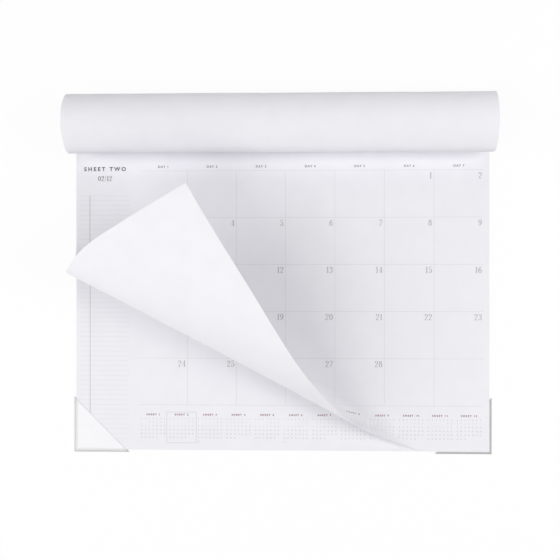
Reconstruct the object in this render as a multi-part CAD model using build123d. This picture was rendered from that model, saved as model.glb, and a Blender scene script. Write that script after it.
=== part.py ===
"""Desk pad calendar: month sheets taped to a board, one sheet turned over the top, the next one lifted.

The pad lies flat with its long side along X and the user's side towards -Y. The first month is turned
over the top edge and tucked under the board, so it stands there as a hollow roll. The lower left corner
of the second month is lifted and folded back, which shows the page under it. Two film pockets hold the
lower corners of the pad.
"""
import os
from math import atan, degrees, radians, tan

from build123d import *

# Driving dimensions, in millimetres and degrees
PAGE_WIDTH = 552.45
PAGE_HEIGHT = 431.8
SHEET = 0.2                # one loose month sheet
BOARD = 1.0                # chipboard back
BLOCK = 1.1                # the months that are still to come
FILM = 0.35                # plastic of the corner pockets
TAPE = 0.15                # binding tape
SEAT = 0.02                # air between pieces that lie on each other

POCKET_LEG = 71.5          # pocket along the page's edges, from the page's corner
POCKET_OVERHANG = 3.7      # pocket beyond the page's edges
POCKET_WALL_LEAN = 45.0    # pocket wall from the vertical

TAPE_FRONT = 12.0
TAPE_BACK = 20.0

ROLL_REACH = 38.6          # roll in front of and behind the pad's top edge
ROLL_HEIGHT = 64.0         # top of the roll above the desk

LIFT_HEIGHT = 118.0        # held corner of the lifted sheet above the page
CORNER_CLIP = 1.5          # the held corner's small chamfer

# The lifted sheet's two free edges, from the line where it leaves the page to the held corner. A station
# on one edge and its partner on the other are the ends of one straight line of the bent paper. Places
# across and up are shares of the page from its lower left corner, and the rise is a share of LIFT_HEIGHT.
LEFT_EDGE = (
    (0.000, 0.660, 0.00),
    (0.001, 0.607, 0.035),
    (0.004, 0.568, 0.22),
    (0.013, 0.549, 0.52),
    (0.057, 0.599, 0.78),
    (0.145, 0.672, 0.95),
    (0.232, 0.737, 1.00),
    (0.308, 0.795, 1.00),
)
BOTTOM_EDGE = (
    (0.865, 0.000, 0.00),
    (0.780, 0.028, 0.06),
    (0.699, 0.075, 0.19),
    (0.643, 0.130, 0.34),
    (0.562, 0.255, 0.64),
    (0.458, 0.473, 0.88),
    (0.354, 0.693, 0.98),
    (0.308, 0.795, 1.00),
)

# Levels of the stack above the desk
board_z = max(FILM, SHEET + SEAT + TAPE) + SEAT
block_z = board_z + BOARD + SEAT
pocket_height = block_z + BLOCK + SEAT + FILM
lifted_z = pocket_height + SEAT
turned_z = lifted_z + SHEET + SEAT
tape_top = turned_z + SHEET + SEAT + TAPE

# The part's origin is the middle of the space it takes up on the desk
page_left = -PAGE_WIDTH / 2
page_right = PAGE_WIDTH / 2
page_bottom = (POCKET_OVERHANG - ROLL_REACH - PAGE_HEIGHT) / 2
page_top = page_bottom + PAGE_HEIGHT


def page_slab(bottom, thickness):
    """A flat slab of the page's size, with its underside at the given level."""
    middle = Location((0, (page_bottom + page_top) / 2, bottom))
    return middle * Box(PAGE_WIDTH, PAGE_HEIGHT, thickness, align=(Align.CENTER, Align.CENTER, Align.MIN))


def across_pad(section):
    """Extrude a section, drawn as forward and height from the pad's top edge, over the pad's width."""
    plane = Plane(origin=(page_left, page_top, 0), x_dir=(0, -1, 0), z_dir=(-1, 0, 0))
    return extrude(plane * section, amount=-PAGE_WIDTH)


def oval_quarter(reach, rise):
    """Radius and turn of the two tangent arcs of a quarter oval, the level arc first."""
    if abs(reach - rise) < SEAT:
        return [(rise, 90.0)]
    side_radius = rise * rise / reach
    inward = reach - side_radius
    below = rise - side_radius
    drop = (inward ** 2 - below ** 2) / (2 * below)
    level_turn = degrees(atan(inward / drop))
    return [(drop + rise, level_turn), (side_radius, 90.0 - level_turn)]


def turned_sheet():
    """The first month: bound at the top edge, rolled over it and tucked under the board."""
    half_rise = (ROLL_HEIGHT - turned_z - 2 * SHEET) / 2
    reach = ROLL_REACH - SHEET
    arcs = oval_quarter(reach - TAPE_FRONT, half_rise)
    arcs += reversed(oval_quarter(reach, half_rise))
    arcs += oval_quarter(reach, half_rise)
    arcs += reversed(oval_quarter(reach, turned_z + half_rise))
    # the inner face of the sheet, from the binding to the free end under the board
    path = Line((0, turned_z + SHEET), (TAPE_FRONT, turned_z + SHEET))
    end, heading = path @ 1, path % 1
    for radius, turn in arcs:
        arc = JernArc(start=end, tangent=heading, radius=radius, arc_size=turn)
        end, heading = arc @ 1, arc % 1
        path += arc
    tail = PAGE_HEIGHT - sum(edge.length for edge in path.edges())
    path += Line(end, end + heading * tail)
    band = offset(path, amount=SHEET, side=Side.RIGHT)
    return across_pad(make_face(band))


def edge_points(stations, clip_towards):
    """Real places of an edge's stations, stopping a little short of the held corner."""
    points = []
    for across, up, rise in stations:
        x = page_left + across * PAGE_WIDTH
        y = page_bottom + up * PAGE_HEIGHT
        points.append(Vector(x, y, lifted_z + rise * LIFT_HEIGHT))
    back = (points[clip_towards] - points[-1]).normalized()
    points[-1] = points[-1] + back * CORNER_CLIP
    return points


def shared_parameters(*edges):
    """One parameter for each pair of stations: the mean share of the way along the edges."""
    shares = []
    for points in edges:
        steps = [(b - a).length for a, b in zip(points, points[1:])]
        shares.append([sum(steps[:i]) / sum(steps) for i in range(len(points))])
    return [sum(pair) / len(pair) for pair in zip(*shares)]


def lifted_sheet():
    """The second month: flat under the binding, with its lower left corner lifted and folded back."""
    left = edge_points(LEFT_EDGE, -2)
    bottom = edge_points(BOTTOM_EDGE, -2)
    stations = shared_parameters(left, bottom)

    def rail(points, start):
        finish = (points[-1] - points[-2]).normalized()
        return Edge.make_spline(points, tangents=(start, finish), parameters=stations, scale=True)

    down = Vector(0, -1, 0)
    leftwards = Vector(-1, 0, 0)
    left_rail = rail(left, down)
    bottom_rail = rail(bottom, leftwards)

    def raised(points, edge, line_from, line_to):
        """The printed face's points: the sheet's thickness along the paper's normal."""
        moved = []
        for point, station, a, b in zip(points, stations, line_from, line_to):
            normal = edge.tangent_at(station).cross(b - a).normalized()
            moved.append(point + normal * SHEET)
        return moved

    left_top = rail(raised(left, left_rail, left, bottom), down)
    bottom_top = rail(raised(bottom, bottom_rail, left, bottom), leftwards)
    ruled = Face.make_surface_from_curves
    first = [Edge.make_line(a @ 0, b @ 0) for a, b in ((left_rail, bottom_rail), (left_top, bottom_top))]
    last = [Edge.make_line(a @ 1, b @ 1) for a, b in ((left_rail, bottom_rail), (left_top, bottom_top))]
    faces = [
        ruled(left_rail, bottom_rail),
        ruled(left_top, bottom_top),
        ruled(left_rail, left_top),
        ruled(bottom_rail, bottom_top),
        ruled(*first),
        ruled(*last),
    ]
    curl = Solid(Shell(faces))
    outline = Polyline(
        (left[0].X, left[0].Y),
        (bottom[0].X, bottom[0].Y),
        (page_right, page_bottom),
        (page_right, page_top),
        (page_left, page_top),
        close=True,
    )
    flat = extrude(Location((0, 0, lifted_z)) * make_face(outline), amount=SHEET)
    return flat + curl


def corner_pocket(side):
    """A film pocket over a lower corner of the pad: side is -1 on the left and +1 on the right."""
    lean = tan(radians(POCKET_WALL_LEAN))
    corner_x = side * (PAGE_WIDTH / 2 + POCKET_OVERHANG)
    corner_y = page_bottom - POCKET_OVERHANG
    leg = POCKET_LEG + POCKET_OVERHANG
    reach = 2 * leg

    def tapered_block(inset, bottom, top):
        """A square block at the corner whose outer sides lean in towards the pad."""
        start = inset + bottom * lean
        x_start = corner_x - side * (start + reach / 2)
        base = Location((x_start, corner_y + start + reach / 2, bottom)) * Rectangle(reach, reach)
        return extrude(base, amount=top - bottom, taper=POCKET_WALL_LEAN)

    wall_inset = FILM / lean * (1 + lean * lean) ** 0.5
    shell = tapered_block(0, 0, pocket_height)
    shell -= tapered_block(wall_inset, FILM, pocket_height - FILM)
    mouth = Polyline(
        (corner_x, corner_y),
        (corner_x - side * leg, corner_y),
        (corner_x, corner_y + leg),
        close=True,
    )
    return shell & extrude(make_face(mouth), amount=pocket_height)


def binding_tape():
    """Tape folded over the top edge: it holds the sheets to the board."""
    inner_bottom = SHEET + SEAT + TAPE
    inner_top = tape_top - TAPE
    section = Polyline(
        (TAPE_FRONT, inner_top),
        (-SEAT, inner_top),
        (-SEAT, inner_bottom),
        (TAPE_BACK, inner_bottom),
        (TAPE_BACK, inner_bottom - TAPE),
        (-SEAT - TAPE, inner_bottom - TAPE),
        (-SEAT - TAPE, tape_top),
        (TAPE_FRONT, tape_top),
        close=True,
    )
    return across_pad(make_face(section))


def main():
    pieces = {
        "backing_board": page_slab(board_z, BOARD),
        "page_block": page_slab(block_z, BLOCK),
        "lifted_sheet": lifted_sheet(),
        "turned_sheet": turned_sheet(),
        "left_corner_pocket": corner_pocket(-1),
        "right_corner_pocket": corner_pocket(1),
        "binding_tape": binding_tape(),
    }
    os.makedirs("parts", exist_ok=True)
    for name, piece in pieces.items():
        export_step(piece, f"parts/{name}.step")


main()
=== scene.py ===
"""Desk pad calendar: its sheets, print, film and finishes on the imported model, laid out as an add-on.

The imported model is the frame, in metres, with +X to the reader's right and +Y towards the bound edge. Print
is planned on the flat page, from the page's lower left corner, and is then laid on the page that carries it.
"""

import math

import bpy
import numpy as np
from bpy.props import FloatProperty, FloatVectorProperty, IntProperty, PointerProperty
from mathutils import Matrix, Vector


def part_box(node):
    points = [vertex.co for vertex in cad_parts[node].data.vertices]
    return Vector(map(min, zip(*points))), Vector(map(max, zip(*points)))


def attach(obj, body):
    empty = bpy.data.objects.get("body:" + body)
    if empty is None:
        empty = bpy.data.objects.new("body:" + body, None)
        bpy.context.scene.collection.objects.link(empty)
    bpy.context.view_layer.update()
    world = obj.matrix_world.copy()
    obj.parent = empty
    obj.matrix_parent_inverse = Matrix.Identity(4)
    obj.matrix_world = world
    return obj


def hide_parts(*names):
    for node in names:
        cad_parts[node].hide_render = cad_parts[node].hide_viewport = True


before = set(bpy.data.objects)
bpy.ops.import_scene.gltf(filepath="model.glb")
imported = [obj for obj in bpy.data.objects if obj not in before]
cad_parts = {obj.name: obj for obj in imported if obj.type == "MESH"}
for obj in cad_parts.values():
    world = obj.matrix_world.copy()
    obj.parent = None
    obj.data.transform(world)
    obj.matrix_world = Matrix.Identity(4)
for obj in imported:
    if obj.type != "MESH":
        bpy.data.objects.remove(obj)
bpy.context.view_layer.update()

bl_info = {
    "name": "Desk Pad Calendar",
    "version": (1, 0, 0),
    "blender": (4, 5, 0),
    "location": "3D View > Sidebar > Desk Pad",
    "description": "Dresses the packed desk pad with its paper, print, film and board finishes",
    "category": "Object",
}

MM = 0.001
BODY = "root"

PAGE_LOW, PAGE_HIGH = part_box("page_block")
SHEET_LOW, SHEET_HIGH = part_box("lifted_sheet")
_, ROLL_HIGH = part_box("turned_sheet")
PAGE_WIDTH = PAGE_HIGH.x - PAGE_LOW.x
PAGE_HEIGHT = PAGE_HIGH.y - PAGE_LOW.y

# The free edges of the lifted sheet: shares of the page's width and height, and of the lift's height
LEFT_EDGE = (
    (0.000, 0.660, 0.00),
    (0.001, 0.607, 0.035),
    (0.004, 0.568, 0.22),
    (0.013, 0.549, 0.52),
    (0.057, 0.599, 0.78),
    (0.145, 0.672, 0.95),
    (0.232, 0.737, 1.00),
    (0.308, 0.795, 1.00),
)
BOTTOM_EDGE = (
    (0.865, 0.000, 0.00),
    (0.780, 0.028, 0.06),
    (0.699, 0.075, 0.19),
    (0.643, 0.130, 0.34),
    (0.562, 0.255, 0.64),
    (0.458, 0.473, 0.88),
    (0.354, 0.693, 0.98),
    (0.308, 0.795, 1.00),
)

# Fineness of the meshes and curves
RAIL_SAMPLES = 900                  # points along each free edge of the lifted sheet
BISECTIONS = 40                     # halvings that find a point's straight line in the bend
SMALLEST_SHARE = 1e-9               # keeps the page's very corner from a division by zero
ROLL_STEP = 2.2 * MM                # mesh cells along the roll's arcs
ROLL_CELLS = 4                      # fewest cells along one arc of the roll, and those of its flat end
ROLL_STRETCH = 2.5                  # width of the roll's cells against the lifted sheet's
BOX_STEP = 4 * MM                   # mesh cells along the box round the shown month
DAY_STEPS = 14                      # pieces of a round stroke in the large numerals
DATE_STEPS = 4                      # the same in the small dates
LETTER_STEPS = 3                    # the same in the letters
CRISP_ANGLE = math.radians(40.0)    # edges sharper than this are shaded crisp

# Soft waves of the rolled paper: turn across the page, turn along the sheet and start, in radians
ROLL_WAVES = ((7.0, 9.0, 0.0), (17.0, -5.0, 1.3))

# Share of the clouds in the relief that they make with the fibres
CLOUD_RELIEF = 0.35

# Bands of the pockets' film: painted shadow along the mouth, leaning wall in painted shade, and the crease
# over which that painted shade fades into the face
MOUTH_SHADOW_WIDTH = 0.9 * MM
WALL_WIDTH = 2.6 * MM
CREASE_WIDTH = 4.2 * MM

# The day grid, the front page's month and the column it begins in, and the lengths of the months
COLUMNS = 7
ROWS = 5
FRONT_MONTH = 2
FRONT_FIRST_COLUMN = 5
MONTH_LENGTHS = (31, 28, 31, 30, 31, 30, 31, 31, 30, 31, 30, 31)

# Lettering: how far apart the letters are set, and how much their strokes are thickened
LABEL_STYLE = {"spacing": 1.3, "weight": 0.02}
TITLE_STYLE = {"spacing": 1.53, "weight": 0.028}
NAME_STYLE = {"spacing": 1.75, "weight": 0.05}

# The stage in metres, with each softbox's side and place; the camera's sensor is in millimetres
LAMPS = {
    "overhead": (1.4, (0.0, 0.0, 1.7)),
    "near_left": (1.0, (-0.75, -0.75, 1.4)),
    "front": (1.2, (0.0, -1.5, 0.7)),
    "left": (0.9, (-1.52, 0.0, 0.88)),
    "right": (0.9, (1.3, 0.0, 1.17)),
    "back": (1.2, (0.0, 1.5, 0.7)),
}
FLOOR_SIDE = 8.0
FLOOR_DROP = 0.3 * MM
SENSOR_WIDTH = 36.0
WHITE = (1.0, 1.0, 1.0, 1.0)

# Strokes of the numerals on a field that is one unit high. A bow is part of an oval: middle, half width and
# half height, and its turn in degrees. A bar has two ends and a width, and a ball has a middle. The pen is a
# hair's width across and a stem's width up and down.
HAIR = 0.04
SLAB = 0.08
STEM = 0.13
BALL = 0.07
NUMERAL_GAP = 0.15
NUMERALS = {
    "0": [("bow", (0.25, 0.50), (0.21, 0.48), 90, 450)],
    "1": [
        ("bar", (0.20, 0.00), (0.20, 1.00), STEM),
        ("bar", (0.20, 0.98), (0.06, 0.86), HAIR),
        ("bar", (0.04, 0.02), (0.36, 0.02), HAIR),
    ],
    "2": [
        ("bow", (0.25, 0.74), (0.19, 0.24), 165, -35),
        ("bar", (0.40, 0.62), (0.05, 0.06), SLAB),
        ("bar", (0.04, 0.05), (0.47, 0.05), SLAB),
        ("ball", (0.09, 0.76)),
    ],
    "3": [
        ("bow", (0.24, 0.75), (0.17, 0.23), 150, -90),
        ("bow", (0.23, 0.27), (0.21, 0.25), 90, -150),
        ("ball", (0.10, 0.84)),
        ("ball", (0.07, 0.16)),
    ],
    "4": [
        ("bar", (0.36, 0.99), (0.03, 0.27), HAIR),
        ("bar", (0.03, 0.27), (0.52, 0.27), HAIR),
        ("bar", (0.37, 0.00), (0.37, 0.99), STEM),
        ("bar", (0.22, 0.02), (0.52, 0.02), HAIR),
    ],
    "5": [
        ("bar", (0.09, 0.94), (0.44, 0.94), SLAB),
        ("bar", (0.10, 0.96), (0.09, 0.52), HAIR),
        ("bow", (0.23, 0.32), (0.22, 0.30), 130, -150),
        ("ball", (0.07, 0.18)),
    ],
    "6": [
        ("bow", (0.26, 0.31), (0.20, 0.29), 0, 360),
        ("bow", (0.50, 0.36), (0.44, 0.61), 180, 100),
        ("ball", (0.42, 0.91)),
    ],
    "7": [
        ("bar", (0.04, 0.94), (0.48, 0.94), SLAB),
        ("bar", (0.46, 0.94), (0.19, 0.00), SLAB),
        ("bar", (0.05, 0.96), (0.05, 0.80), HAIR),
    ],
    "8": [
        ("bow", (0.25, 0.76), (0.16, 0.22), 0, 360),
        ("bow", (0.25, 0.28), (0.21, 0.26), 0, 360),
    ],
    "9": [
        ("bow", (0.24, 0.69), (0.20, 0.29), 0, 360),
        ("bow", (0.00, 0.64), (0.44, 0.61), 0, -80),
        ("ball", (0.08, 0.09)),
    ],
    "/": [("bar", (0.02, -0.05), (0.26, 1.05), HAIR)],
}


def length(name, description, millimetres):
    """A length property, given in millimetres and kept in metres."""
    return FloatProperty(
        name=name, description=description, default=millimetres * MM, unit="LENGTH", precision=5
    )


def colour(name, description, red, green, blue):
    """A colour property in linear light."""
    return FloatVectorProperty(
        name=name, description=description, default=(red, green, blue, 1.0), size=4, subtype="COLOR",
        min=0.0, max=1.0,
    )


def power(name, description, watts):
    """A lamp's power property."""
    return FloatProperty(name=name, description=description, default=watts, min=0.0, unit="POWER")


class DeskPadSheets(bpy.types.PropertyGroup):
    """Sizes of the paper sheets."""

    thickness: length("Sheet Thickness", "Thickness of one loose month sheet", 0.2)
    seat: length("Seat", "Air between sheets that lie on each other", 0.02)
    lift_height: length("Lift Height", "Held corner of the lifted sheet above the page", 117.99)
    corner_clip: length("Corner Clip", "Small chamfer at the held corner", 1.5)
    mesh_step: length("Mesh Step", "Size of the mesh cells of a bent sheet", 3.0)
    bound_margin: length("Bound Margin", "Part of the turned sheet that lies flat under the tape", 12.0)
    ripple: length("Roll Ripple", "How far the rolled paper sinks in its soft waves", 0.5)
    leaf_count: IntProperty(name="Leaves", description="Sheets in the stack of months to come", default=10)
    leaf_gap: length("Leaf Gap", "Air between the leaves of the stack", 0.012)
    leaf_slip: length("Leaf Slip", "How far a leaf may slip out of the stack", 0.22)
    leaf_seed: IntProperty(name="Leaf Seed", description="Seed of the leaves' slip", default=4)


class DeskPadPrint(bpy.types.PropertyGroup):
    """Sizes of the print, from the page's lower left corner."""

    ink_lift: length("Ink Lift", "Air between the paper and the ink's underside", 0.04)
    ink_film: length("Ink Film", "Thickness of the ink", 0.03)
    line_width: length("Line Width", "Width of the grid's lines", 0.30)
    rule_width: length("Rule Width", "Width of the ruled lines for notes", 0.24)
    margin_width: length("Margin Width", "Width of the notes' upright line", 0.46)
    grid_left: length("Grid Left", "Left end of the day grid", 84.5)
    grid_top: length("Grid Top", "Upper line of the day grid", 374.4)
    column_pitch: length("Column Pitch", "Width of a day's cell", 65.84)
    row_pitch: length("Row Pitch", "Height of a day's cell", 62.78)
    numeral_height: length("Numeral Height", "Height of the day numerals", 8.2)
    numeral_side: length("Numeral Side Gap", "From a numeral to its cell's right line", 3.0)
    numeral_top: length("Numeral Top Gap", "From a numeral to its cell's upper line", 3.2)
    label_height: length("Label Height", "Height of the weekdays' labels", 3.1)
    label_level: length("Label Level", "Middle of the weekdays' labels", 380.0)
    title_height: length("Title Height", "Height of the heading's letters", 5.6)
    title_x: length("Title Across", "Middle of the heading", 38.9)
    title_level: length("Title Level", "Middle of the heading's letters", 377.2)
    count_height: length("Month Number Height", "Height of the month's number", 6.6)
    count_level: length("Month Number Level", "Middle of the month's number", 364.5)
    note_left: length("Note Left", "Left end of the ruled lines", 3.5)
    note_right: length("Note Right", "Right end of the ruled lines", 71.7)
    note_top: length("Note Top", "First ruled line", 341.4)
    note_pitch: length("Note Pitch", "Distance of the ruled lines", 6.53)
    note_count: IntProperty(name="Note Lines", description="Number of ruled lines", default=51)
    note_margin: length("Note Margin", "Upright line of the notes", 18.45)
    note_margin_top: length("Note Margin Top", "Upper end of the upright line", 341.6)
    strip_first: length("Strip First", "Middle of the year strip's first month", 103.8)
    strip_pitch: length("Strip Pitch", "Distance of the year strip's months", 38.35)
    strip_names: length("Strip Names", "Level of the months' names", 47.5)
    strip_name_height: length("Strip Name Height", "Height of the months' names", 2.5)
    strip_weekdays: length("Strip Weekdays", "Level of the months' weekday row", 42.0)
    strip_mark: length("Strip Mark", "Side of a weekday's small square mark", 0.85)
    strip_dates: length("Strip Dates", "Level of the months' first date row", 37.5)
    strip_date_height: length("Strip Date Height", "Height of the small dates", 1.9)
    strip_row: length("Strip Row", "Distance of the date rows", 5.2)
    strip_column: length("Strip Column", "Distance of the date columns", 5.1)
    strip_box_width: length("Strip Box Width", "Width of the box round the shown month", 39.7)
    strip_box_top: length("Strip Box Top", "Upper side of the box", 50.8)
    strip_box_bottom: length("Strip Box Bottom", "Lower side of the box", 9.5)


class DeskPadColours(bpy.types.PropertyGroup):
    """Colours of the paper, inks, film and board."""

    paper: colour("Paper", "White of the month sheets", 0.855, 0.848, 0.885)
    paper_shade: colour("Paper Shade", "Darker clouds in the paper", 0.815, 0.808, 0.850)
    # The back is the page paper made lighter: a painted highlight for the light that the lifted flap catches.
    back: colour("Back", "Unprinted back of the front month sheet", 0.915, 0.907, 0.938)
    back_shade: colour("Back Shade", "Darker clouds in the unprinted back", 0.872, 0.865, 0.902)
    line: colour("Line Grey", "Lines of the day grid", 0.59, 0.58, 0.60)
    rule: colour("Rule Grey", "Ruled lines for notes", 0.66, 0.65, 0.67)
    margin: colour("Margin Brown", "Upright line of the notes", 0.26, 0.22, 0.22)
    numeral: colour("Numeral Grey", "Day numerals", 0.38, 0.37, 0.38)
    date: colour("Date Grey", "Small dates of the year strip", 0.38, 0.37, 0.39)
    title: colour("Title Brown", "Heading and its number", 0.030, 0.014, 0.018)
    label: colour("Label Brown", "Weekdays' labels", 0.10, 0.055, 0.065)
    accent: colour("Accent Maroon", "Months' names in the year strip", 0.19, 0.018, 0.035)
    film: colour("Film", "Frosted film of the corner pockets", 0.935, 0.927, 0.945)
    film_haze: colour("Film Haze", "Thicker haze in the film", 0.895, 0.887, 0.905)
    # The walls' colours are painted shade, darkest on the pocket under the front sheet.
    film_wall: colour("Film Wall", "Leaning walls of the left pocket", 0.72, 0.70, 0.70)
    film_shade: colour("Film Shade", "Greyer walls of the pocket under the front sheet", 0.54, 0.53, 0.54)
    # The mouth's grey is a painted shadow along each pocket's mouth.
    film_rim: colour("Film Rim", "Cut edge of the film along a pocket's mouth", 0.60, 0.60, 0.60)
    board: colour("Board", "Grey chipboard", 0.33, 0.30, 0.26)
    board_fleck: colour("Board Fleck", "Dark flecks in the chipboard", 0.16, 0.14, 0.12)
    tape: colour("Tape", "Binding tape", 0.80, 0.79, 0.80)
    tape_shade: colour("Tape Shade", "Furrows in the binding tape", 0.62, 0.61, 0.63)


class DeskPadStage(bpy.types.PropertyGroup):
    """Camera, light and floor."""

    eye_x: length("Eye Across", "Camera's place over the pad, to the right", 62.0)
    eye_y: length("Eye Up", "Camera's place over the pad, towards the bound edge", -5.3)
    eye_height: length("Eye Height", "Camera above the front page", 1000.0)
    view_width: length("View Width", "Width of the picture at the front page", 747.3)
    view_x: length("View Across", "Middle of the picture on the front page", -1.65)
    tilt: FloatProperty(
        name="Tilt", description="Camera's lean to the left", default=math.radians(1.6), subtype="ANGLE"
    )
    overhead_power: power("Overhead Power", "Lamp over the pad", 4.3)
    near_left_power: power("Near Left Power", "High lamp at the reader's left", 8.0)
    front_power: power("Front Power", "Low lamp on the reader's side", 4.4)
    left_power: power("Left Power", "Lamp on the left", 11.9)
    right_power: power("Right Power", "Lamp on the right", 17.0)
    back_power: power("Back Power", "Low lamp behind the bound edge", 6.7)
    world_strength: FloatProperty(name="Sky Strength", description="Light from all round", default=0.02)
    floor: colour("Floor", "Pale floor", 0.90, 0.90, 0.90)
    floor_white: FloatProperty(
        name="Floor White", description="Share of plain white in the floor as the camera sees it",
        default=0.93, subtype="FACTOR", min=0.0, max=1.0,
    )


# Node helpers

def set_socket(tree, socket, value):
    """Give a socket a plain value, or link another node's output to it."""
    if isinstance(value, bpy.types.NodeSocket):
        tree.links.new(value, socket)
    else:
        socket.default_value = value


def set_inputs(tree, node, **values):
    """Set a node's input sockets by name, with an underscore for each space."""
    for name, value in values.items():
        set_socket(tree, node.inputs[name.replace("_", " ")], value)
    return node


def add_node(tree, kind, **values):
    """A new node with its input sockets set by name."""
    return set_inputs(tree, tree.nodes.new(kind), **values)


def add_math(tree, operation, *values):
    """The result of a math node, whose values are numbers or other nodes' outputs."""
    node = tree.nodes.new("ShaderNodeMath")
    node.operation = operation
    for socket, value in zip(node.inputs, values):
        set_socket(tree, socket, value)
    return node.outputs["Value"]


def add_sockets(tree, direction, sockets):
    """Named sockets of a node group, given as name and kind."""
    for name, kind in sockets:
        tree.interface.new_socket(name=name, in_out=direction, socket_type="NodeSocket" + kind)


def tree_named(name, make):
    """A node group that is made once and then shared."""
    return bpy.data.node_groups.get(name) or make(name)


def finish_named(name, make, *given):
    """A material that is made once and then shared."""
    return bpy.data.materials.get(name) or make(name, *given)


def fibre_group(name):
    """Shader group of paper's cloudy formation and its fine fibres."""
    tree = bpy.data.node_groups.new(name, "ShaderNodeTree")
    add_sockets(tree, "INPUT", (("Vector", "Vector"), ("Cloud Scale", "Float"), ("Fibre Scale", "Float")))
    add_sockets(tree, "OUTPUT", (("Cloud", "Float"), ("Fibre", "Float"), ("Height", "Float")))
    given = tree.nodes.new("NodeGroupInput").outputs
    clouds = add_node(
        tree, "ShaderNodeTexNoise", Vector=given["Vector"], Scale=given["Cloud Scale"],
        Detail=3.0, Roughness=0.55,
    )
    fibres = add_node(
        tree, "ShaderNodeTexNoise", Vector=given["Vector"], Scale=given["Fibre Scale"],
        Detail=6.0, Roughness=0.7, Distortion=1.6,
    )
    cloud, fibre = clouds.outputs["Fac"], fibres.outputs["Fac"]
    height = add_math(tree, "MULTIPLY_ADD", cloud, CLOUD_RELIEF, fibre)
    add_node(tree, "NodeGroupOutput", Cloud=cloud, Fibre=fibre, Height=height)
    return tree


class Finish:
    """A material under construction: its shader, its object coordinates and the shared fibre group."""

    def __init__(self, name, cloud_scale, fibre_scale):
        self.material = bpy.data.materials.new(name)
        self.material.use_nodes = True
        self.tree = self.material.node_tree
        self.shader = self.tree.nodes["Principled BSDF"]
        self.place = self.tree.nodes.new("ShaderNodeTexCoord").outputs["Object"]
        fibres = self.tree.nodes.new("ShaderNodeGroup")
        fibres.node_tree = tree_named("paper_fibres", fibre_group)
        set_inputs(self.tree, fibres, Vector=self.place, Cloud_Scale=cloud_scale, Fibre_Scale=fibre_scale)
        self.cloud, self.fibre, self.height = (fibres.outputs[n] for n in ("Cloud", "Fibre", "Height"))

    def surface(self, **values):
        """Set the shader's sockets by name."""
        set_inputs(self.tree, self.shader, **values)

    def ranged(self, value, low, high, start=0.3, end=0.7):
        """A value stretched to go from low to high while it goes from start to end."""
        node = add_node(
            self.tree, "ShaderNodeMapRange", Value=value,
            From_Min=start, From_Max=end, To_Min=low, To_Max=high,
        )
        return node.outputs["Result"]

    def mixed(self, value, first, second, low=0.0, high=1.0, **span):
        """A colour between two, each a colour or an output, by a value that is stretched to a mask."""
        node = add_node(self.tree, "ShaderNodeMix")
        node.data_type = "RGBA"
        set_inputs(self.tree, node, Factor=self.ranged(value, low, high, **span))
        for socket, given in zip([s for s in node.inputs if s.type == "RGBA"], (first, second)):
            set_socket(self.tree, socket, given)
        return next(s for s in node.outputs if s.type == "RGBA")

    def relief(self, height, strength, depth):
        """Add relief of the given depth, in metres, and hand over the finished material."""
        bump = add_node(self.tree, "ShaderNodeBump", Height=height, Strength=strength, Distance=depth)
        self.surface(Normal=bump.outputs["Normal"])
        return self.material


# Finishes

def paper_finish(name, paper, shade):
    """Uncoated white paper: soft clouds in its colour and a fine tooth."""
    finish = Finish(name, cloud_scale=38.0, fibre_scale=1500.0)
    clouded = finish.mixed(finish.cloud, paper, shade, high=0.55)
    finish.surface(
        Base_Color=finish.mixed(finish.fibre, clouded, shade, high=0.35),
        Roughness=finish.ranged(finish.fibre, low=0.80, high=0.94),
        Specular_IOR_Level=0.25,
    )
    return finish.relief(finish.height, strength=0.18, depth=0.04 * MM)


def ink_finish(name, ink, paper):
    """Flat ink that lets a little of the paper's tooth through."""
    finish = Finish(name, cloud_scale=260.0, fibre_scale=2400.0)
    finish.surface(
        Base_Color=finish.mixed(finish.fibre, ink, paper, high=0.22, start=0.42, end=0.72),
        Roughness=finish.ranged(finish.cloud, low=0.62, high=0.78),
        Specular_IOR_Level=0.3,
    )
    return finish.relief(finish.height, strength=0.12, depth=0.02 * MM)


def film_finish(name, wall, colours):
    """Frosted film that the page shows through faintly, with painted shade on its walls that fades across the
    crease, and a painted shadow along the mouth.
    """
    finish = Finish(name, cloud_scale=55.0, fibre_scale=900.0)
    # The pockets mirror each other, so the right one's box serves both
    low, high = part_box("right_corner_pocket")
    apart = add_node(finish.tree, "ShaderNodeSeparateXYZ", Vector=finish.place).outputs
    outward = add_math(finish.tree, "ABSOLUTE", apart["X"])
    from_side = add_math(finish.tree, "SUBTRACT", high.x, outward)
    from_foot = add_math(finish.tree, "SUBTRACT", apart["Y"], low.y)
    inward = add_math(finish.tree, "MINIMUM", from_side, from_foot)
    slant = add_math(finish.tree, "SUBTRACT", apart["Y"], outward)
    mouth = low.y - low.x
    hazy = finish.mixed(finish.cloud, colours.film, colours.film_haze, high=0.6)
    # Painted shade: the walls take the wall colour, which fades into the face across the crease.
    walls_in_painted_shade = finish.mixed(inward, wall, hazy, start=WALL_WIDTH, end=WALL_WIDTH + CREASE_WIDTH)
    # Painted shadow: a grey band along the mouth, where the film's edge shades the page.
    finish.surface(
        Base_Color=finish.mixed(
            slant, walls_in_painted_shade, colours.film_rim, high=0.9, start=mouth - MOUTH_SHADOW_WIDTH, end=mouth
        ),
        Roughness=finish.ranged(finish.fibre, low=0.30, high=0.46),
        Alpha=0.9,
        IOR=1.49,
    )
    return finish.relief(finish.height, strength=0.10, depth=0.03 * MM)


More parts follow.
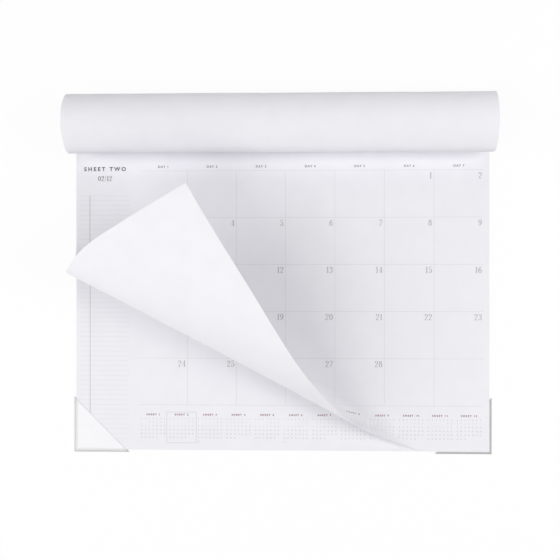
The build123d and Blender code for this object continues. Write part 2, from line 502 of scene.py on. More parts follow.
def board_finish(name, colours):
    """Grey chipboard: pressed fibres with dark flecks."""
    finish = Finish(name, cloud_scale=90.0, fibre_scale=620.0)
    flecks = add_node(finish.tree, "ShaderNodeTexVoronoi", Vector=finish.place, Scale=520.0, Randomness=1.0)
    pressed = finish.mixed(finish.fibre, colours.board, colours.board_fleck, high=0.7)
    flecked = finish.mixed(
        flecks.outputs["Distance"], pressed, colours.board_fleck, low=0.8, high=0.0, start=0.10, end=0.24
    )
    finish.surface(Base_Color=flecked, Roughness=finish.ranged(finish.cloud, low=0.84, high=0.95))
    return finish.relief(finish.height, strength=0.35, depth=0.12 * MM)


def tape_finish(name, colours):
    """Paper tape with fine furrows across it."""
    finish = Finish(name, cloud_scale=120.0, fibre_scale=1100.0)
    furrows = add_node(
        finish.tree, "ShaderNodeTexWave", Vector=finish.place, Scale=420.0, Distortion=3.0, Detail=2.0
    ).outputs["Fac"]
    furrowed = finish.mixed(furrows, colours.tape, colours.tape_shade, high=0.5, start=0.0, end=1.0)
    finish.surface(Base_Color=furrowed, Roughness=finish.ranged(finish.fibre, low=0.55, high=0.72))
    return finish.relief(furrows, strength=0.25, depth=0.05 * MM)


# Paper shapes

def spline_through(stations, points, start, finish):
    """A smooth curve through points at given parameters, with the directions of its ends."""

    def end_speed(order):
        """Speed at the first of three stations, on the parabola through them."""
        near, middle, far = points[list(order)]
        first, second = stations[order[1]] - stations[order[0]], stations[order[2]] - stations[order[0]]
        return ((middle - near) * second / first - (far - near) * first / second) / (second - first)

    gaps = np.diff(stations)
    rises = np.diff(points, axis=0) / gaps[:, None]
    count = len(stations)
    system = np.eye(count)
    wanted = np.zeros((count, 3))
    wanted[0] = start * np.linalg.norm(end_speed((0, 1, 2)))
    wanted[-1] = finish * np.linalg.norm(end_speed((-1, -2, -3)))
    for i in range(1, count - 1):
        before, after = 1 / gaps[i - 1], 1 / gaps[i]
        system[i, i - 1:i + 2] = before, 2 * (before + after), after
        wanted[i] = 3 * (rises[i - 1] * before + rises[i] * after)
    slopes = np.linalg.solve(system, wanted)

    def at(values):
        """Points of the curve at the given parameters."""
        span = np.clip(np.searchsorted(stations, values, side="right") - 1, 0, count - 2)
        gap = gaps[span][:, None]
        share = (np.asarray(values) - stations[span])[:, None] / gap
        rest = 1 - share
        held = points[span] * (1 + 2 * share) * rest**2 + points[span + 1] * (1 + 2 * rest) * share**2
        return held + gap * (slopes[span] * share * rest**2 - slopes[span + 1] * rest * share**2)

    return at


def along(points):
    """How far each point of a line of points is from the first, along the line."""
    return np.concatenate(([0.0], np.cumsum(np.linalg.norm(np.diff(points, axis=0), axis=1))))


class FlatPage:
    """The face of a page that lies flat."""

    def __init__(self, level):
        self.level = level

    def spots(self, across, up):
        """Places and normals of points of the flat page."""
        places = np.stack((PAGE_LOW.x + across, PAGE_LOW.y + up, np.full(len(across), self.level)), axis=1)
        return places, np.tile((0.0, 0.0, 1.0), (len(across), 1))


class LiftedPage(FlatPage):
    """A page whose lower left corner is lifted and folded back along straight lines of the paper.

    The rise is how far its face is from those lines, along the paper's own normals.
    """

    def __init__(self, level, sheets, rise=0.0):
        super().__init__(level)
        self.rise = rise
        left = self.edge(LEFT_EDGE, sheets)
        bottom = self.edge(BOTTOM_EDGE, sheets)
        stations = (along(left) / along(left)[-1] + along(bottom) / along(bottom)[-1]) / 2
        self.stations = np.linspace(0.0, 1.0, RAIL_SAMPLES)
        self.rails = []    # the free edges in the air, at the stations
        self.ends = []     # how far the same points are from the corner on the flat page
        for edge, start, flat in (
            (left, np.array((0.0, -1.0, 0.0)), LEFT_EDGE[0][1] * PAGE_HEIGHT),
            (bottom, np.array((-1.0, 0.0, 0.0)), BOTTOM_EDGE[0][0] * PAGE_WIDTH),
        ):
            last = (edge[-1] - edge[-2]) / np.linalg.norm(edge[-1] - edge[-2])
            rail = spline_through(stations, edge, start, last)(self.stations)
            run = along(rail)
            self.rails.append(rail)
            self.ends.append(flat - (flat - sheets.corner_clip) * run / run[-1])

    def edge(self, stations, sheets):
        """Real places of an edge's stations, stopping a little short of the held corner."""
        corner = np.array((PAGE_LOW.x, PAGE_LOW.y, self.level))
        points = corner + np.array(stations) * np.array((PAGE_WIDTH, PAGE_HEIGHT, sheets.lift_height))
        back = points[-2] - points[-1]
        points[-1] += back / np.linalg.norm(back) * sheets.corner_clip
        return points

    def spots(self, across, up):
        """Places and normals of points of the page, round the bend where they lie in the lifted corner."""
        places, normals = super().spots(across, up)
        left_end, bottom_end = self.ends
        bent = across / bottom_end[0] + up / left_end[0] < 1.0
        x, y = across[bent], up[bent]

        def shares(station):
            """How far the points reach along the two edges, against the paper's straight line there."""
            reach = [np.interp(station, self.stations, end) for end in (bottom_end, left_end)]
            return x / reach[0], y / reach[1]

        low = np.zeros(len(x))
        high = np.ones(len(x))
        for _ in range(BISECTIONS):
            middle = (low + high) / 2
            beyond = sum(shares(middle)) > 1.0
            low = np.where(beyond, low, middle)
            high = np.where(beyond, middle, high)
        station = (low + high) / 2
        to_bottom, to_left = shares(station)
        share = (to_bottom / np.maximum(to_bottom + to_left, SMALLEST_SHARE))[:, None]

        def line_point(value):
            """Points on the paper's straight lines, and the lines themselves."""
            left, bottom = (
                np.stack([np.interp(value, self.stations, rail[:, axis]) for axis in range(3)], axis=1)
                for rail in self.rails
            )
            return left * (1 - share) + bottom * share, bottom - left

        step = 2.0 / RAIL_SAMPLES
        ahead, _ = line_point(np.minimum(station + step, 1.0))
        behind, _ = line_point(np.maximum(station - step, 0.0))
        places[bent], ruling = line_point(station)
        normal = np.cross(ahead - behind, ruling)
        normals[bent] = normal / np.linalg.norm(normal, axis=1)[:, None]
        return places + normals * self.rise, normals


def oval_quarter(reach, rise):
    """Radius and turn of the two tangent arcs of a quarter oval, the level arc first."""
    side_radius = rise * rise / reach
    inward = reach - side_radius
    below = rise - side_radius
    drop = (inward**2 - below**2) / (2 * below)
    level_turn = math.atan(inward / drop)
    return [(drop + rise, level_turn), (side_radius, math.pi / 2 - level_turn)]


def roll_section(sheets):
    """Inner face of the turned sheet from its binding to its free end: forward, height and outward side."""
    start_level = SHEET_LOW.z + 2 * sheets.thickness + sheets.seat
    half_rise = (ROLL_HIGH.z - start_level - sheets.thickness) / 2
    reach = ROLL_HIGH.y - PAGE_HIGH.y - sheets.thickness
    arcs = oval_quarter(reach - sheets.bound_margin, half_rise)
    arcs += reversed(oval_quarter(reach, half_rise))
    arcs += oval_quarter(reach, half_rise)
    arcs += reversed(oval_quarter(reach, start_level - sheets.thickness + half_rise))
    points = [(0.0, start_level), (sheets.bound_margin, start_level)]
    sides = [(0.0, -1.0), (0.0, -1.0)]
    heading = 0.0
    for radius, turn in arcs:
        forward, height = points[-1]
        middle = forward - radius * math.sin(heading), height + radius * math.cos(heading)
        steps = max(ROLL_CELLS, round(radius * turn / ROLL_STEP))
        for i in range(1, steps + 1):
            angle = heading + turn * i / steps
            side = math.sin(angle), -math.cos(angle)
            points.append((middle[0] + radius * side[0], middle[1] + radius * side[1]))
            sides.append(side)
        heading += turn
    tail = PAGE_HEIGHT - along(np.array(points))[-1]
    forward, height = points[-1]
    for i in range(1, ROLL_CELLS + 1):
        points.append((forward + tail * i / ROLL_CELLS, height))
        sides.append((0.0, -1.0))
    return np.array(points), np.array(sides)


# Meshes and pieces

def grid_faces(rows, columns):
    """Quads of a grid of points stored row by row, looking to the side of row cross column."""
    corner = np.arange(rows * columns).reshape(rows, columns)
    quads = (corner[:-1, :-1], corner[:-1, 1:], corner[1:, 1:], corner[1:, :-1])
    return np.stack([q.ravel() for q in quads], axis=1).tolist()


def mesh_from(name, points, faces, material):
    """A smooth-shaded mesh of one material."""
    mesh = bpy.data.meshes.new(name)
    mesh.from_pydata(np.asarray(points).tolist(), [], faces)
    mesh.materials.append(material)
    mesh.shade_smooth()
    return mesh


def new_object(name, data):
    """An object in the scene."""
    holder = bpy.data.objects.new(name, data)
    bpy.context.scene.collection.objects.link(holder)
    return holder


def plain_mesh(holder):
    """The mesh that an object shows, as plain data; the object itself is removed."""
    mesh = bpy.data.meshes.new_from_object(holder.evaluated_get(bpy.context.evaluated_depsgraph_get()))
    holder.modifiers.clear()
    bpy.data.objects.remove(holder)
    return mesh


def solid_sheet(name, points, faces, material, thickness, back=None):
    """A closed sheet with crisp rims: the faces become its back, which may have a material of its own."""
    face = mesh_from(name, points, faces, material)
    holder = new_object(name, face)
    solid = holder.modifiers.new("thickness", "SOLIDIFY")
    solid.thickness = thickness
    solid.offset = 1.0
    if back:
        face.materials.append(back)
        solid.material_offset = 1
    mesh = plain_mesh(holder)
    bpy.data.meshes.remove(face)
    mesh.set_sharp_from_angle(angle=CRISP_ANGLE)
    return mesh


def add_piece(name, mesh, node=None):
    """A paper piece that rides on the object's only body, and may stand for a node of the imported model."""
    piece = new_object(name, mesh)
    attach(piece, BODY)
    if node:
        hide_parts(node)


def dress(node, material):
    """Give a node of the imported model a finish."""
    for slot in bpy.data.objects[node].material_slots:
        slot.material = material


# Geometry Nodes

def open_tree(name, inputs):
    """A geometry tree with named inputs, and what its input node gives."""
    tree = bpy.data.node_groups.new(name, "GeometryNodeTree")
    add_sockets(tree, "INPUT", (("Geometry", "Geometry"), *inputs))
    add_sockets(tree, "OUTPUT", (("Geometry", "Geometry"),))
    return tree, tree.nodes.new("NodeGroupInput").outputs


def close_tree(tree, shape, material):
    """End a geometry tree in real meshes of one material."""
    real = add_node(tree, "GeometryNodeRealizeInstances", Geometry=shape)
    dressed = add_node(tree, "GeometryNodeSetMaterial", Geometry=real.outputs["Geometry"], Material=material)
    add_node(tree, "NodeGroupOutput", Geometry=dressed.outputs["Geometry"])
    return tree


def mark_tree(name):
    """Rectangular marks in columns and rows, and those again in blocks side by side."""
    tree, given = open_tree(name, (
        ("Columns", "Int"), ("Rows", "Int"), ("Blocks", "Int"),
        ("Column Pitch", "Float"), ("Row Pitch", "Float"), ("Block Pitch", "Float"),
        ("Mark Width", "Float"), ("Mark Height", "Float"), ("Points Across", "Int"), ("Points Up", "Int"),
        ("Ink", "Material"),
    ))
    shape = add_node(
        tree, "GeometryNodeMeshGrid", Size_X=given["Mark Width"], Size_Y=given["Mark Height"],
        Vertices_X=given["Points Across"], Vertices_Y=given["Points Up"],
    ).outputs["Mesh"]
    for count, pitch, axis in (
        ("Columns", "Column Pitch", "X"), ("Rows", "Row Pitch", "Y"), ("Blocks", "Block Pitch", "X")
    ):
        step = add_node(tree, "ShaderNodeCombineXYZ", **{axis: given[pitch]})
        line = add_node(tree, "GeometryNodeMeshLine", Count=given[count], Offset=step.outputs["Vector"])
        copies = add_node(tree, "GeometryNodeInstanceOnPoints", Points=line.outputs["Mesh"], Instance=shape)
        shape = copies.outputs["Instances"]
    return close_tree(tree, shape, given["Ink"])


def stack_tree(name):
    """Thin leaves on top of each other, each a little out of line."""
    tree, given = open_tree(name, (
        ("Leaves", "Int"), ("Leaf Size", "Vector"), ("First", "Vector"), ("Pitch", "Vector"),
        ("Least Slip", "Vector"), ("Most Slip", "Vector"), ("Seed", "Int"), ("Paper", "Material"),
    ))
    leaf = add_node(tree, "GeometryNodeMeshCube", Size=given["Leaf Size"])
    line = add_node(
        tree, "GeometryNodeMeshLine", Count=given["Leaves"],
        Start_Location=given["First"], Offset=given["Pitch"],
    )
    slip = tree.nodes.new("FunctionNodeRandomValue")
    slip.data_type = "FLOAT_VECTOR"
    set_inputs(tree, slip, Min=given["Least Slip"], Max=given["Most Slip"], Seed=given["Seed"])
    places = add_node(
        tree, "GeometryNodeSetPosition", Geometry=line.outputs["Mesh"], Offset=slip.outputs["Value"]
    )
    copies = add_node(
        tree, "GeometryNodeInstanceOnPoints", Points=places.outputs["Geometry"], Instance=leaf.outputs["Mesh"]
    )
    return close_tree(tree, copies.outputs["Instances"], given["Paper"])


def grown_mesh(name, tree, values):
    """The plain mesh that a geometry tree makes from its named inputs."""
    start = bpy.data.meshes.new(name)
    grower = new_object(name, start)
    modifier = grower.modifiers.new("nodes", "NODES")
    modifier.node_group = tree
    inputs = {s.name: s.identifier for s in tree.interface.items_tree if s.in_out == "INPUT"}
    for socket, value in values.items():
        modifier[inputs[socket]] = value
    mesh = plain_mesh(grower)
    bpy.data.meshes.remove(start)
    return mesh


# Print

def pen_stroke(stroke, steps):
    """Points and faces of a pen stroke: the pen is broad where it goes up or down and thin across."""
    kind, middle, *rest = stroke
    if kind == "ball":
        turn = np.arange(2 * steps) * math.pi / steps
        return np.array(middle) + BALL * np.stack((np.cos(turn), np.sin(turn)), axis=1), [range(2 * steps)]
    if kind == "bar":
        end, width = rest
        line = np.array((middle, end))
        heading = np.tile((line[1] - line[0]) / np.linalg.norm(line[1] - line[0]), (2, 1))
        widths = np.array((width, width))
    else:
        half, start, end = rest
        turn = np.radians(np.linspace(start, end, steps + 1))
        line = np.array(middle) + np.array(half) * np.stack((np.cos(turn), np.sin(turn)), axis=1)
        heading = np.array(half) * np.stack((-np.sin(turn), np.cos(turn)), axis=1) * np.sign(end - start)
        heading /= np.linalg.norm(heading, axis=1)[:, None]
        widths = HAIR + (STEM - HAIR) * heading[:, 1] ** 2
    left = np.stack((-heading[:, 1], heading[:, 0]), axis=1) * widths[:, None] / 2
    return np.stack((line + left, line - left), axis=1).reshape(-1, 2), grid_faces(len(line), 2)


def flat_shape(mesh):
    """Points and faces of a flat mesh, which is freed."""
    points = np.array([vertex.co[:2] for vertex in mesh.vertices])
    faces = [face.vertices[:] for face in mesh.polygons]
    bpy.data.meshes.remove(mesh)
    return points, faces


class PrintLayer:
    """Flat marks of one ink, planned in metres from the page's lower left corner."""

    def __init__(self, context, ink):
        colours = context.scene.desk_pad_colours
        self.printing = context.scene.desk_pad_print
        self.ink = finish_named(ink + "_ink", ink_finish, getattr(colours, ink), colours.paper)
        self.points = []
        self.faces = []

    def add(self, points, faces):
        """Add flat points and the faces between them."""
        first = len(self.points)
        self.points += points.tolist()
        self.faces += [[first + i for i in face] for face in faces]

    def marks(self, across, up, width, height, columns=1, rows=1, blocks=1, pitch=(0.0, 0.0, 0.0), step=0.0):
        """An array of rectangles; the place is the middle of the first one, and rows go downwards."""
        counts = [2 if not step else max(2, round(side / step) + 1) for side in (width, height)]
        points, faces = flat_shape(grown_mesh("marks", tree_named("mark_array", mark_tree), {
            "Columns": columns, "Rows": rows, "Blocks": blocks, "Column Pitch": pitch[0],
            "Row Pitch": -pitch[1], "Block Pitch": pitch[2], "Mark Width": width, "Mark Height": height,
            "Points Across": counts[0], "Points Up": counts[1], "Ink": self.ink,
        }))
        self.add(points + (across, up), faces)

    def letters(self, body, across, up, height, spacing, weight):
        """Lettering of a given height round its middle."""
        curve = bpy.data.curves.new("letters", "FONT")
        curve.body = body
        curve.space_character = spacing
        curve.offset = weight
        curve.resolution_u = LETTER_STEPS
        points, faces = flat_shape(plain_mesh(new_object("letters", curve)))
        bpy.data.curves.remove(curve)
        low, high = points.min(axis=0), points.max(axis=0)
        self.add((points - (low + high) / 2) * height / (high[1] - low[1]) + (across, up), faces)

    def numerals(self, text, across, up, height, steps, hold):
        """A number drawn with a broad pen, placed by its middle level and a share of its width."""
        shapes = []
        pen = 0.0
        for digit in text:
            strokes = [pen_stroke(stroke, steps) for stroke in NUMERALS[digit]]
            shapes += [(points + (pen, -0.5), faces) for points, faces in strokes]
            pen += max(points[:, 0].max() for points, _ in strokes) + NUMERAL_GAP
        anchor = (pen - NUMERAL_GAP) * hold
        for points, faces in shapes:
            self.add((points - (anchor, 0.0)) * height + (across, up), faces)

    def lay(self, name, page):
        """Lay the marks on a page as a piece of its own."""
        flat = np.array(self.points)
        places, normals = page.spots(flat[:, 0], flat[:, 1])
        under = places + normals * self.printing.ink_lift
        add_piece(name, solid_sheet(name, under, self.faces, self.ink, self.printing.ink_film))


def month_paper(context):
    """The paper that all month sheets share."""
    colours = context.scene.desk_pad_colours
    return finish_named("month_paper", paper_finish, colours.paper, colours.paper_shade)


def printed_pages(context):
    """The two pages that show their print: the lifted sheet and the page under it."""
    sheets = context.scene.desk_pad_sheets
    front = LiftedPage(SHEET_LOW.z, sheets, rise=sheets.thickness)
    return {"front": front, "under": FlatPage(PAGE_HIGH.z)}


def month_days(month):
    """Days of a month as number, column and row of its grid."""
    before = sum(MONTH_LENGTHS[:month - 1]) - sum(MONTH_LENGTHS[:FRONT_MONTH - 1])
    first = (FRONT_FIRST_COLUMN + before) % COLUMNS
    for day in range(1, MONTH_LENGTHS[month - 1] + 1):
        cell = first + day - 1
        yield day, cell % COLUMNS, cell // COLUMNS


# Operators

class DESKPAD_OT_lifted_sheet(bpy.types.Operator):
    """Make the front month sheet, flat under the binding and lifted at its lower left corner"""

    bl_idname = "deskpad.lifted_sheet"
    bl_label = "Lifted Sheet"

    def execute(self, context):
        sheets = context.scene.desk_pad_sheets
        colours = context.scene.desk_pad_colours
        columns = round(PAGE_WIDTH / sheets.mesh_step) + 1
        rows = round(PAGE_HEIGHT / sheets.mesh_step) + 1
        up, across = np.meshgrid(
            np.linspace(0.0, PAGE_HEIGHT, rows), np.linspace(0.0, PAGE_WIDTH, columns), indexing="ij"
        )
        places, _ = LiftedPage(SHEET_LOW.z, sheets).spots(across.ravel(), up.ravel())
        # The back's lighter paper is a painted highlight on the lifted flap.
        back = finish_named("unprinted_back", paper_finish, colours.back, colours.back_shade)
        mesh = solid_sheet(
            "front_month", places, grid_faces(rows, columns), month_paper(context), sheets.thickness, back
        )
        add_piece("front_month", mesh, "lifted_sheet")
        return {"FINISHED"}


class DESKPAD_OT_turned_sheet(bpy.types.Operator):
    """Make the first month sheet, rolled over the bound edge and tucked under the board"""

    bl_idname = "deskpad.turned_sheet"
    bl_label = "Turned Sheet"

    def execute(self, context):
        sheets = context.scene.desk_pad_sheets
        section, sides = roll_section(sheets)
        columns = round(PAGE_WIDTH / (ROLL_STRETCH * sheets.mesh_step)) + 1
        across = np.linspace(0.0, 1.0, columns)
        run = along(section) / PAGE_HEIGHT
        # The waves stay between 0 and 1, so the paper only sinks, and most where it is free
        waves = 0.5
        for turn_across, turn_along, start in ROLL_WAVES:
            swing = np.sin(turn_across * across[None, :] + turn_along * run[:, None] + start)
            waves = waves + swing / (2 * len(ROLL_WAVES))
        free = np.sin(section[:, 1] / ROLL_HIGH.z * math.pi)
        sink = waves * free[:, None] * sheets.ripple
        sunk = section[:, None] - sides[:, None] * sink[..., None]
        x = np.broadcast_to(PAGE_LOW.x + across * PAGE_WIDTH, sink.shape)
        points = np.stack((x, PAGE_HIGH.y - sunk[..., 0], sunk[..., 1]), axis=2).reshape(-1, 3)
        mesh = solid_sheet(
            "turned_month", points, grid_faces(len(section), columns), month_paper(context), sheets.thickness
        )
        add_piece("turned_month", mesh, "turned_sheet")
        return {"FINISHED"}


class DESKPAD_OT_leaf_stack(bpy.types.Operator):
    """Stack the leaves of the months to come"""

    bl_idname = "deskpad.leaf_stack"
    bl_label = "Leaf Stack"

    def execute(self, context):
        sheets = context.scene.desk_pad_sheets
        pitch = (PAGE_HIGH.z - PAGE_LOW.z) / sheets.leaf_count
        leaf = pitch - sheets.leaf_gap
        slip = sheets.leaf_slip
        mesh = grown_mesh("month_leaves", tree_named("leaf_stack", stack_tree), {
            "Leaves": sheets.leaf_count,
            "Leaf Size": (PAGE_WIDTH - slip, PAGE_HEIGHT - slip, leaf),
            "First": (0.0, (PAGE_LOW.y + PAGE_HIGH.y) / 2, PAGE_LOW.z + pitch - leaf / 2),
            "Pitch": (0.0, 0.0, pitch),
            "Least Slip": (-slip, -slip, 0.0),
            "Most Slip": (slip, slip, 0.0),
            "Seed": sheets.leaf_seed,
            "Paper": month_paper(context),
        })
        add_piece("month_leaves", mesh, "page_block")
        return {"FINISHED"}


class DESKPAD_OT_ruled_lines(bpy.types.Operator):
    """Print the day grid and the lines for notes on both shown pages"""

    bl_idname = "deskpad.ruled_lines"
    bl_label = "Ruled Lines"

    def execute(self, context):
        printing = context.scene.desk_pad_print
        step = context.scene.desk_pad_sheets.mesh_step
        width = COLUMNS * printing.column_pitch
        height = ROWS * printing.row_pitch
        note_width = printing.note_right - printing.note_left
        margin_low = printing.note_top - (printing.note_count - 1) * printing.note_pitch
        margin_height = printing.note_margin_top - margin_low
        for name, page in printed_pages(context).items():
            grid = PrintLayer(context, "line")
            grid.marks(
                printing.grid_left + printing.column_pitch, printing.grid_top - height / 2,
                printing.line_width, height,
                columns=COLUMNS - 1, pitch=(printing.column_pitch, 0.0, 0.0), step=step,
            )
            grid.marks(
                printing.grid_left + width / 2, printing.grid_top, width, printing.line_width,
                rows=ROWS + 1, pitch=(0.0, printing.row_pitch, 0.0), step=step,
            )
            grid.lay(name + "_grid_lines", page)
            notes = PrintLayer(context, "rule")
            notes.marks(
                printing.note_left + note_width / 2, printing.note_top, note_width, printing.rule_width,
                rows=printing.note_count, pitch=(0.0, printing.note_pitch, 0.0), step=step,
            )
            notes.lay(name + "_note_lines", page)
            margin = PrintLayer(context, "margin")
            margin.marks(
                printing.note_margin, margin_low + margin_height / 2, printing.margin_width, margin_height,
                step=step,
            )
            margin.lay(name + "_margin_line", page)
        return {"FINISHED"}


class DESKPAD_OT_day_numerals(bpy.types.Operator):
    """Print the day numerals on both shown pages"""

    bl_idname = "deskpad.day_numerals"
    bl_label = "Day Numerals"

    def execute(self, context):
        printing = context.scene.desk_pad_print
        height = printing.numeral_height
        for month, (name, page) in enumerate(printed_pages(context).items(), FRONT_MONTH):
            layer = PrintLayer(context, "numeral")
            for day, column, row in month_days(month):
                # A day past the grid's last row is left off
                if row == ROWS:
                    continue
                right = printing.grid_left + (column + 1) * printing.column_pitch - printing.numeral_side
                top = printing.grid_top - row * printing.row_pitch - printing.numeral_top
                layer.numerals(str(day), right, top - height / 2, height, DAY_STEPS, hold=1.0)
            layer.lay(name + "_day_numerals", page)
        return {"FINISHED"}


class DESKPAD_OT_headings(bpy.types.Operator):
    """Print the heading, its number and the weekdays' labels on the front page"""

    bl_idname = "deskpad.headings"
    bl_label = "Headings"

    def execute(self, context):
        printing = context.scene.desk_pad_print
        page = printed_pages(context)["front"]
        labels = PrintLayer(context, "label")
        for column in range(COLUMNS):
            middle = printing.grid_left + (column + 0.5) * printing.column_pitch
            labels.letters(
                f"DAY {column + 1}", middle, printing.label_level, printing.label_height, **LABEL_STYLE
            )
        labels.lay("front_labels", page)
        title = PrintLayer(context, "title")
        title.letters(
            "SHEET TWO", printing.title_x, printing.title_level, printing.title_height, **TITLE_STYLE
        )
        title.lay("front_title", page)
        count = PrintLayer(context, "title")
        count.numerals(
            f"{FRONT_MONTH:02d}/{len(MONTH_LENGTHS)}", printing.title_x, printing.count_level,
            printing.count_height, DAY_STEPS, hold=0.5,
        )
        count.lay("front_month_number", page)
        return {"FINISHED"}


class DESKPAD_OT_year_strip(bpy.types.Operator):
    """Print the strip of small months along the foot of both shown pages"""

    bl_idname = "deskpad.year_strip"
    bl_label = "Year Strip"

    def execute(self, context):
        printing = context.scene.desk_pad_print
        column, row = printing.strip_column, printing.strip_row
        half_week = (COLUMNS - 1) / 2
        months = len(MONTH_LENGTHS)
        shown = printing.strip_first + (FRONT_MONTH - 1) * printing.strip_pitch
        box_middle = (printing.strip_box_top + printing.strip_box_bottom) / 2
        box_height = printing.strip_box_top - printing.strip_box_bottom
        for name, page in printed_pages(context).items():
            dates = PrintLayer(context, "date")
            names = PrintLayer(context, "accent")
            dates.marks(
                printing.strip_first - half_week * column, printing.strip_weekdays,
                printing.strip_mark, printing.strip_mark,
                columns=COLUMNS, blocks=months, pitch=(column, 0.0, printing.strip_pitch),
            )
            for month in range(1, months + 1):
                middle = printing.strip_first + (month - 1) * printing.strip_pitch
                names.letters(
                    f"SHEET {month}", middle, printing.strip_names, printing.strip_name_height, **NAME_STYLE
                )
                for day, place, week in month_days(month):
                    dates.numerals(
                        str(day), middle + (place - half_week) * column, printing.strip_dates - week * row,
                        printing.strip_date_height, DATE_STEPS, hold=0.5,
                    )
            dates.marks(
                shown - printing.strip_box_width / 2, box_middle, printing.line_width, box_height,
                columns=2, pitch=(printing.strip_box_width, 0.0, 0.0), step=BOX_STEP,
            )
            dates.marks(
                shown, printing.strip_box_top, printing.strip_box_width, printing.line_width,
                rows=2, pitch=(0.0, box_height, 0.0), step=BOX_STEP,
            )
            dates.lay(name + "_small_dates", page)
            names.lay(name + "_small_names", page)
        return {"FINISHED"}


class DESKPAD_OT_film_and_board(bpy.types.Operator):
    """Finish the film pockets, the chipboard back and the binding tape"""

    bl_idname = "deskpad.film_and_board"
    bl_label = "Film and Board"

    def execute(self, context):
        colours = context.scene.desk_pad_colours
        # Each pocket's walls get painted shade, greyer on the right pocket, which the front sheet covers.
        for side, wall in (("left", colours.film_wall), ("right", colours.film_shade)):
            dress(side + "_corner_pocket", finish_named(side + "_film", film_finish, wall, colours))
        dress("backing_board", finish_named("grey_chipboard", board_finish, colours))
        dress("binding_tape", finish_named("paper_tape", tape_finish, colours))
        return {"FINISHED"}


# Stage

def background_mix(tree, lit, plain, output, share=1.0):
    """Show the plain shader to rays that look straight at it, and the lit one to the light itself."""
    rays = tree.nodes.new("ShaderNodeLightPath").outputs
    seen = rays["Is Camera Ray"]
    for ray in ("Is Glossy Ray", "Is Transmission Ray"):
        seen = add_math(tree, "MAXIMUM", seen, rays[ray])
    mix = add_node(tree, "ShaderNodeMixShader", Fac=add_math(tree, "MULTIPLY", seen, share))
    for socket, shader in zip(mix.inputs[1:], (lit, plain)):
        tree.links.new(shader.outputs[0], socket)
    tree.links.new(mix.outputs[0], tree.nodes[output].inputs["Surface"])


def floor_finish(name, stage):
    """Pale floor that the camera sees almost white, with the object's shadow still on it."""
    material = bpy.data.materials.new(name)
    material.use_nodes = True
    tree = material.node_tree
    shader = set_inputs(
        tree, tree.nodes["Principled BSDF"], Base_Color=stage.floor, Roughness=0.95, Specular_IOR_Level=0.0
    )
    white = add_node(tree, "ShaderNodeEmission", Color=WHITE, Strength=1.0)
    background_mix(tree, shader, white, "Material Output", stage.floor_white)
    return material


def white_world(strength):
    """Even sky light; what looks at it directly sees plain white."""
    world = bpy.data.worlds.new("studio")
    bpy.context.scene.world = world
    world.use_nodes = True
    tree = world.node_tree
    light = set_inputs(tree, tree.nodes["Background"], Color=WHITE, Strength=strength)
    white = add_node(tree, "ShaderNodeBackground", Color=WHITE, Strength=1.0)
    background_mix(tree, light, white, "World Output")


def add_softbox(name, power, side, place, target):
    """A large square lamp that looks at a point."""
    lamp = bpy.data.lights.new(name, "AREA")
    lamp.shape = "SQUARE"
    lamp.size = side
    lamp.energy = power
    holder = new_object(name, lamp)
    holder.location = place
    holder.rotation_euler = (target - holder.location).to_track_quat("-Z", "Y").to_euler()


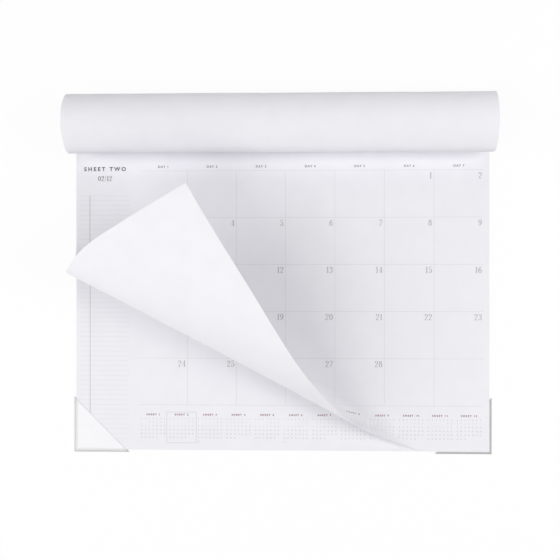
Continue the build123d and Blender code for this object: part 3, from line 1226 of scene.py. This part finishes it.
class DESKPAD_OT_stage(bpy.types.Operator):
    """Set up the floor, the soft light and the camera over the pad"""

    bl_idname = "deskpad.stage"
    bl_label = "Stage"

    def execute(self, context):
        stage = context.scene.desk_pad_stage
        half = FLOOR_SIDE / 2
        corners = [(x * half, y * half, -FLOOR_DROP) for x, y in ((-1, -1), (1, -1), (1, 1), (-1, 1))]
        pale = finish_named("pale_floor", floor_finish, stage)
        new_object("floor", mesh_from("floor", corners, [[0, 1, 2, 3]], pale))
        white_world(stage.world_strength)
        middle = (SHEET_LOW + SHEET_HIGH) / 2
        for name, (side, place) in LAMPS.items():
            add_softbox(name, getattr(stage, name + "_power"), side, place, middle)

        camera = bpy.data.cameras.new("camera")
        camera.sensor_width = SENSOR_WIDTH
        camera.lens = SENSOR_WIDTH * stage.eye_height / stage.view_width
        aimed = stage.eye_x - math.tan(stage.tilt) * stage.eye_height
        camera.shift_x = (stage.view_x - aimed) / stage.view_width
        holder = new_object("camera", camera)
        page_level = SHEET_LOW.z + context.scene.desk_pad_sheets.thickness
        holder.location = (stage.eye_x, stage.eye_y, page_level + stage.eye_height)
        holder.rotation_euler = (0.0, stage.tilt, 0.0)
        context.scene.camera = holder
        context.scene.view_settings.view_transform = "Standard"
        return {"FINISHED"}


class DESKPAD_PT_sidebar(bpy.types.Panel):
    """Lists the steps that dress the desk pad, and their settings"""

    bl_idname = "DESKPAD_PT_sidebar"
    bl_label = "Desk Pad"
    bl_space_type = "VIEW_3D"
    bl_region_type = "UI"
    bl_category = "Desk Pad"

    def draw(self, context):
        for step in STEPS:
            self.layout.operator(step.bl_idname)
        for holder in SETTINGS:
            settings = getattr(context.scene, holder)
            box = self.layout.box()
            for name in settings.bl_rna.properties.keys():
                if name not in ("rna_type", "name"):
                    box.prop(settings, name)


STEPS = (
    DESKPAD_OT_stage,
    DESKPAD_OT_leaf_stack,
    DESKPAD_OT_lifted_sheet,
    DESKPAD_OT_turned_sheet,
    DESKPAD_OT_ruled_lines,
    DESKPAD_OT_day_numerals,
    DESKPAD_OT_headings,
    DESKPAD_OT_year_strip,
    DESKPAD_OT_film_and_board,
)
SETTINGS = {
    "desk_pad_sheets": DeskPadSheets,
    "desk_pad_print": DeskPadPrint,
    "desk_pad_colours": DeskPadColours,
    "desk_pad_stage": DeskPadStage,
}
CLASSES = (*SETTINGS.values(), *STEPS, DESKPAD_PT_sidebar)


def register():
    """Make the settings, the steps and the sidebar known to Blender."""
    for kind in CLASSES:
        bpy.utils.register_class(kind)
    for name, group in SETTINGS.items():
        setattr(bpy.types.Scene, name, PointerProperty(type=group))


def unregister():
    """Take them out again."""
    for name in SETTINGS:
        delattr(bpy.types.Scene, name)
    for kind in reversed(CLASSES):
        bpy.utils.unregister_class(kind)


def main():
    """Dress the desk pad step by step."""
    register()
    for step in STEPS:
        family, action = step.bl_idname.split(".")
        getattr(getattr(bpy.ops, family), action)()


if __name__ == "__main__":
    main()
